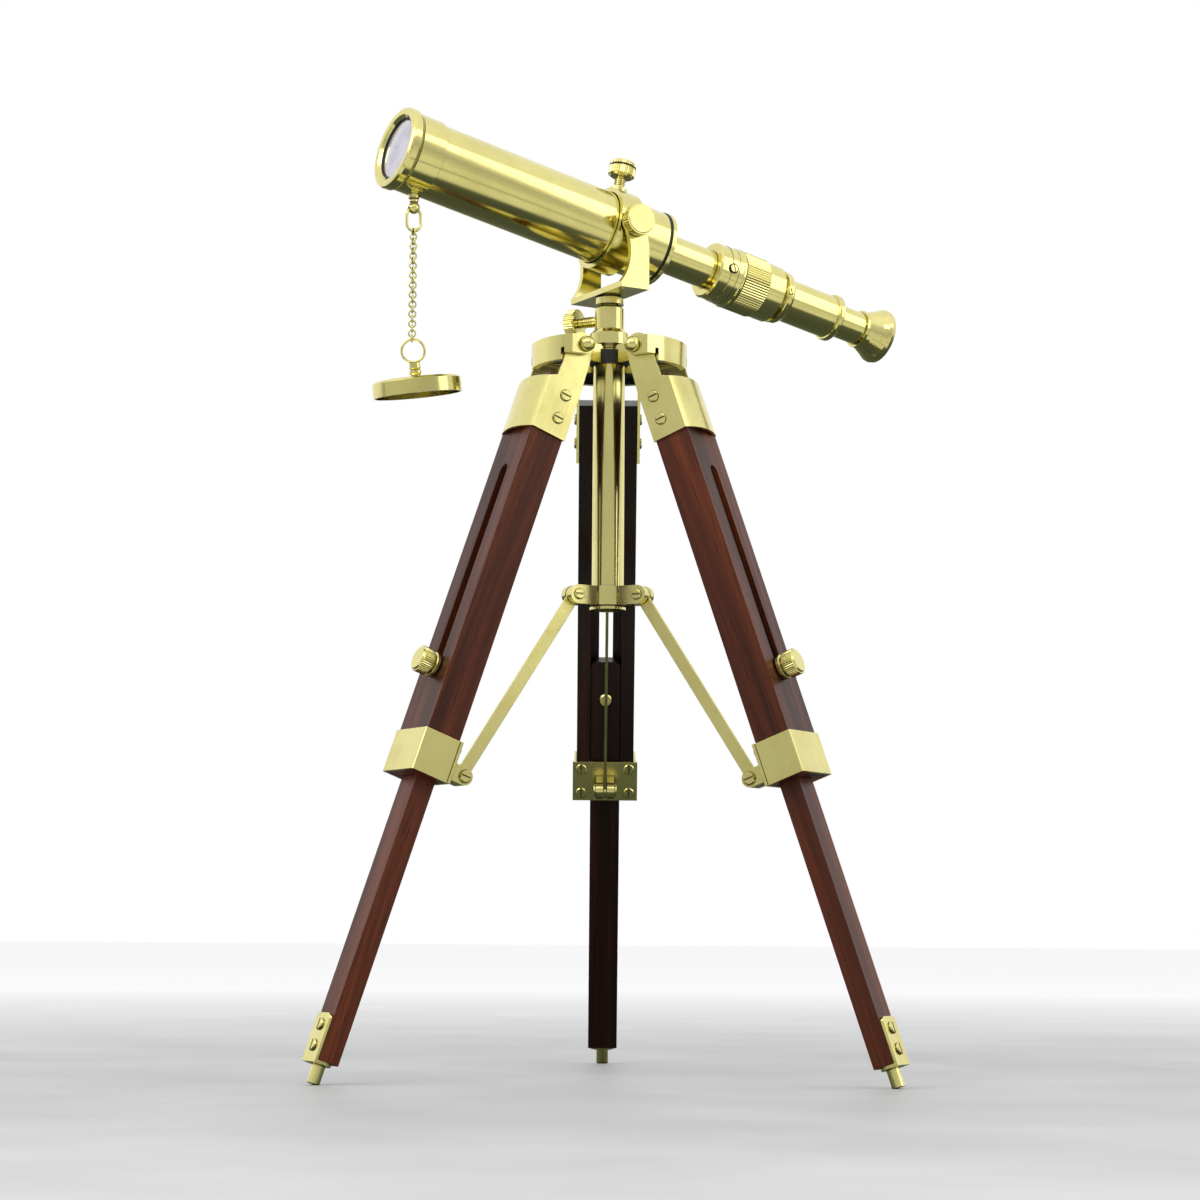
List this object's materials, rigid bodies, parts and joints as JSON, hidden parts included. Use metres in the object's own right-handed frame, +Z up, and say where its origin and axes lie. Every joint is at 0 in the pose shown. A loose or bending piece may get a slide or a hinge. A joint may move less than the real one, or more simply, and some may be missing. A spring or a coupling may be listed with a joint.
{
  "type": "desktop telescope on tripod",
  "caption": "Small brass refracting telescope in a tilting yoke, on a folding wooden tripod with sliding lower legs, brass braces and a lens cap on a chain.",
  "frame": {"origin": "middle of the footprint box, on the floor under the feet", "axes": "+Z up; one leg points along +Y; the objective points towards -X and a little -Y; +X right seen from the front"},
  "size_m": [0.2854, 0.2376, 0.4556],
  "materials": {
    "telescope_brass": "polished and lacquered",
    "tripod_brass": "polished sheet and castings",
    "brass_knobs": "polished, knurled edges",
    "brass_screws": "slotted heads, polished",
    "brass_chain": "drawn wire",
    "leg_wood": "dark reddish brown, satin lacquer",
    "lens_glass": "polished"
  },
  "bodies": {
    "stand": {"column_tube": "tripod_brass", "hub": "tripod_brass", "hub_pivot_screws": "brass_screws"},
    "collar": {"column_collar": "tripod_brass", "collar_pins": "brass_screws"},
    "leg_rear": {"leg_bracket_rear": "tripod_brass", "upper_leg_rear": "leg_wood", "upper_leg_screws_rear": "brass_screws", "knee_clamp_rear": "tripod_brass", "knee_plate_rear": "tripod_brass"},
    "lower_leg_rear": {"lower_leg_rear": "leg_wood", "foot_strap_rear": "tripod_brass", "foot_stud_rear": "tripod_brass", "lower_leg_screws_rear": "brass_screws"},
    "brace_rear": {"brace_rear": "tripod_brass"},
    "leg_knob_rear": {"leg_lock_knob_rear": "brass_knobs"},
    "leg_left": {"leg_bracket_left": "tripod_brass", "upper_leg_left": "leg_wood", "upper_leg_screws_left": "brass_screws", "knee_clamp_left": "tripod_brass", "knee_plate_left": "tripod_brass"},
    "lower_leg_left": {"lower_leg_left": "leg_wood", "foot_strap_left": "tripod_brass", "foot_stud_left": "tripod_brass", "lower_leg_screws_left": "brass_screws"},
    "brace_left": {"brace_left": "tripod_brass"},
    "leg_knob_left": {"leg_lock_knob_left": "brass_knobs"},
    "leg_right": {"leg_bracket_right": "tripod_brass", "upper_leg_right": "leg_wood", "upper_leg_screws_right": "brass_screws", "knee_clamp_right": "tripod_brass", "knee_plate_right": "tripod_brass"},
    "lower_leg_right": {"lower_leg_right": "leg_wood", "foot_strap_right": "tripod_brass", "foot_stud_right": "tripod_brass", "lower_leg_screws_right": "brass_screws"},
    "brace_right": {"brace_right": "tripod_brass"},
    "leg_knob_right": {"leg_lock_knob_right": "brass_knobs"},
    "azimuth_lock": {"azimuth_lock_screw": "brass_knobs"},
    "yoke": {"yoke": "tripod_brass"},
    "ring": {"clamp_ring": "tripod_brass"},
    "ring_screw": {"ring_clamp_screw": "brass_knobs"},
    "tilt_knob_left": {"tilt_knob_left": "brass_knobs"},
    "tilt_knob_right": {"tilt_knob_right": "brass_knobs"},
    "tube": {"main_tube": "telescope_brass", "tube_end_cap": "telescope_brass", "objective_cell": "telescope_brass", "objective_bezel": "telescope_brass", "objective_lens": "lens_glass", "chain_anchor": "brass_chain"},
    "draw": {"draw_tube": "telescope_brass", "focus_barrel": "telescope_brass"},
    "focus_ring": {"focus_ring": "telescope_brass"},
    "eyepiece": {"eyepiece_tube": "telescope_brass"},
    "eye": {"eye_tube": "telescope_brass", "eyecup": "telescope_brass", "eye_lens": "lens_glass"},
    "chain_ring": {"chain_ring": "brass_chain"},
    "chain": {"chain_links": "brass_chain"},
    "cap": {"lens_cap": "telescope_brass"}
  },
  "joints": [
    {"name": "leg_rear_fold", "type": "hinge", "parent": "stand", "child": "leg_rear", "pos_m": [-0.00567, -0.01128, 0.3485], "axis": [-1, 0, 0], "range_deg": [0, 16]},
    {"name": "brace_rear_fold", "type": "hinge", "parent": "leg_rear", "child": "brace_rear", "pos_m": [-0.00567, 0.04342, 0.1404], "axis": [-1, 0, 0], "range_deg": [0, 17.9]},
    {"name": "lower_leg_rear_slide", "type": "slide", "parent": "leg_rear", "child": "lower_leg_rear", "axis": [0, -0.342, 0.9397], "range_m": [0, 0.1]},
    {"name": "leg_knob_rear_turn", "type": "hinge", "parent": "lower_leg_rear", "child": "leg_knob_rear", "pos_m": [-0.00567, 0.05704, 0.1917], "axis": [0, 0.9397, 0.342], "range_deg": [-360, 0]},
    {"name": "leg_left_fold", "type": "hinge", "parent": "stand", "child": "leg_left", "pos_m": [-0.02689, -0.04804, 0.3485], "axis": [0.5, -0.866, 0], "range_deg": [0, 16.05]},
    {"name": "brace_left_fold", "type": "hinge", "parent": "leg_left", "child": "brace_left", "pos_m": [-0.07426, -0.07538, 0.1404], "axis": [0.5, -0.866, 0], "range_deg": [0, 17.9]},
    {"name": "lower_leg_left_slide", "type": "slide", "parent": "leg_left", "child": "lower_leg_left", "axis": [0.2962, 0.171, 0.9397], "range_m": [0, 0.1]},
    {"name": "leg_knob_left_turn", "type": "hinge", "parent": "lower_leg_left", "child": "leg_knob_left", "pos_m": [-0.08606, -0.0822, 0.1917], "axis": [-0.8138, -0.4698, 0.342], "range_deg": [-360, 0]},
    {"name": "leg_right_fold", "type": "hinge", "parent": "stand", "child": "leg_right", "pos_m": [0.01555, -0.04804, 0.3485], "axis": [0.5, 0.866, 0], "range_deg": [0, 16.05]},
    {"name": "brace_right_fold", "type": "hinge", "parent": "leg_right", "child": "brace_right", "pos_m": [0.06292, -0.07538, 0.1404], "axis": [0.5, 0.866, 0], "range_deg": [0, 17.9]},
    {"name": "lower_leg_right_slide", "type": "slide", "parent": "leg_right", "child": "lower_leg_right", "axis": [-0.2962, 0.171, 0.9397], "range_m": [0, 0.1]},
    {"name": "leg_knob_right_turn", "type": "hinge", "parent": "lower_leg_right", "child": "leg_knob_right", "pos_m": [0.07472, -0.0822, 0.1917], "axis": [0.8138, -0.4698, 0.342], "range_deg": [-360, 0]},
    {"name": "collar_slide", "type": "slide", "parent": "stand", "child": "collar", "axis": [0, 0, 1], "range_m": [0, 0.0134]},
    {"name": "azimuth_turn", "type": "hinge", "parent": "stand", "child": "yoke", "pos_m": [-0.00567, -0.03578, 0.374], "axis": [0, 0, 1], "continuous": true},
    {"name": "azimuth_lock_turn", "type": "hinge", "parent": "stand", "child": "azimuth_lock", "pos_m": [-0.01606, -0.02978, 0.3666], "axis": [-0.866, 0.5, 0], "range_deg": [-360, 0]},
    {"name": "tilt_turn", "type": "hinge", "parent": "yoke", "child": "ring", "pos_m": [-0.00567, -0.03578, 0.411], "axis": [-0.5, 0.866, 0], "range_deg": [-22, 19]},
    {"name": "tilt_knob_left_turn", "type": "hinge", "parent": "ring", "child": "tilt_knob_left", "pos_m": [-0.00567, -0.03578, 0.411], "axis": [0.5, -0.866, 0], "range_deg": [-360, 0]},
    {"name": "tilt_knob_right_turn", "type": "hinge", "parent": "ring", "child": "tilt_knob_right", "pos_m": [-0.00567, -0.03578, 0.411], "axis": [-0.5, 0.866, 0], "range_deg": [-360, 0]},
    {"name": "ring_screw_turn", "type": "hinge", "parent": "ring", "child": "ring_screw", "pos_m": [-0.00567, -0.03578, 0.411], "axis": [0.1801, 0.104, 0.9781], "range_deg": [-360, 0]},
    {"name": "tube_slide", "type": "slide", "parent": "ring", "child": "tube", "axis": [-0.8471, -0.4891, 0.2079], "range_m": [-0.01, 0.015]},
    {"name": "draw_slide", "type": "slide", "parent": "tube", "child": "draw", "axis": [-0.8471, -0.4891, 0.2079], "range_m": [-0.035, 0.02]},
    {"name": "focus_turn", "type": "hinge", "parent": "draw", "child": "focus_ring", "pos_m": [0.06549, 0.0053, 0.39354], "axis": [-0.8471, -0.4891, 0.2079], "range_deg": [-121, 121]},
    {"name": "eyepiece_slide", "type": "slide", "parent": "draw", "child": "eyepiece", "axis": [-0.8471, -0.4891, 0.2079], "range_m": [-0.002, 0.002]},
    {"name": "eye_slide", "type": "slide", "parent": "eyepiece", "child": "eye", "axis": [-0.8471, -0.4891, 0.2079], "range_m": [-0.015, 0.014]},
    {"name": "chain_ring_swing", "type": "hinge", "parent": "tube", "child": "chain_ring", "pos_m": [-0.0989, -0.08961, 0.40456], "axis": [-0.5, 0.866, 0], "range_deg": [-19.1, 22.1]},
    {"name": "chain_swing", "type": "hinge", "parent": "chain_ring", "child": "chain", "pos_m": [-0.0989, -0.08961, 0.39716], "axis": [-0.866, -0.5, 0], "range_deg": [-20, 20]},
    {"name": "cap_swing", "type": "hinge", "parent": "chain", "child": "cap", "pos_m": [-0.0989, -0.08961, 0.34387], "axis": [0, -1, 0], "range_deg": [-15, 15]}
  ],
  "couplings": [
    {"joint": "brace_rear_fold", "follows": "leg_rear_fold", "ratio": 1.11},
    {"joint": "leg_left_fold", "follows": "leg_rear_fold", "ratio": 1},
    {"joint": "brace_left_fold", "follows": "leg_rear_fold", "ratio": 1.11},
    {"joint": "leg_right_fold", "follows": "leg_rear_fold", "ratio": 1},
    {"joint": "brace_right_fold", "follows": "leg_rear_fold", "ratio": 1.11},
    {"joint": "collar_slide", "follows": "leg_rear_fold", "m_per_rad": 0.04775},
    {"joint": "focus_turn", "follows": "eyepiece_slide", "rad_per_m": 1047},
    {"joint": "chain_ring_swing", "follows": "tilt_turn", "ratio": -1}
  ]
}
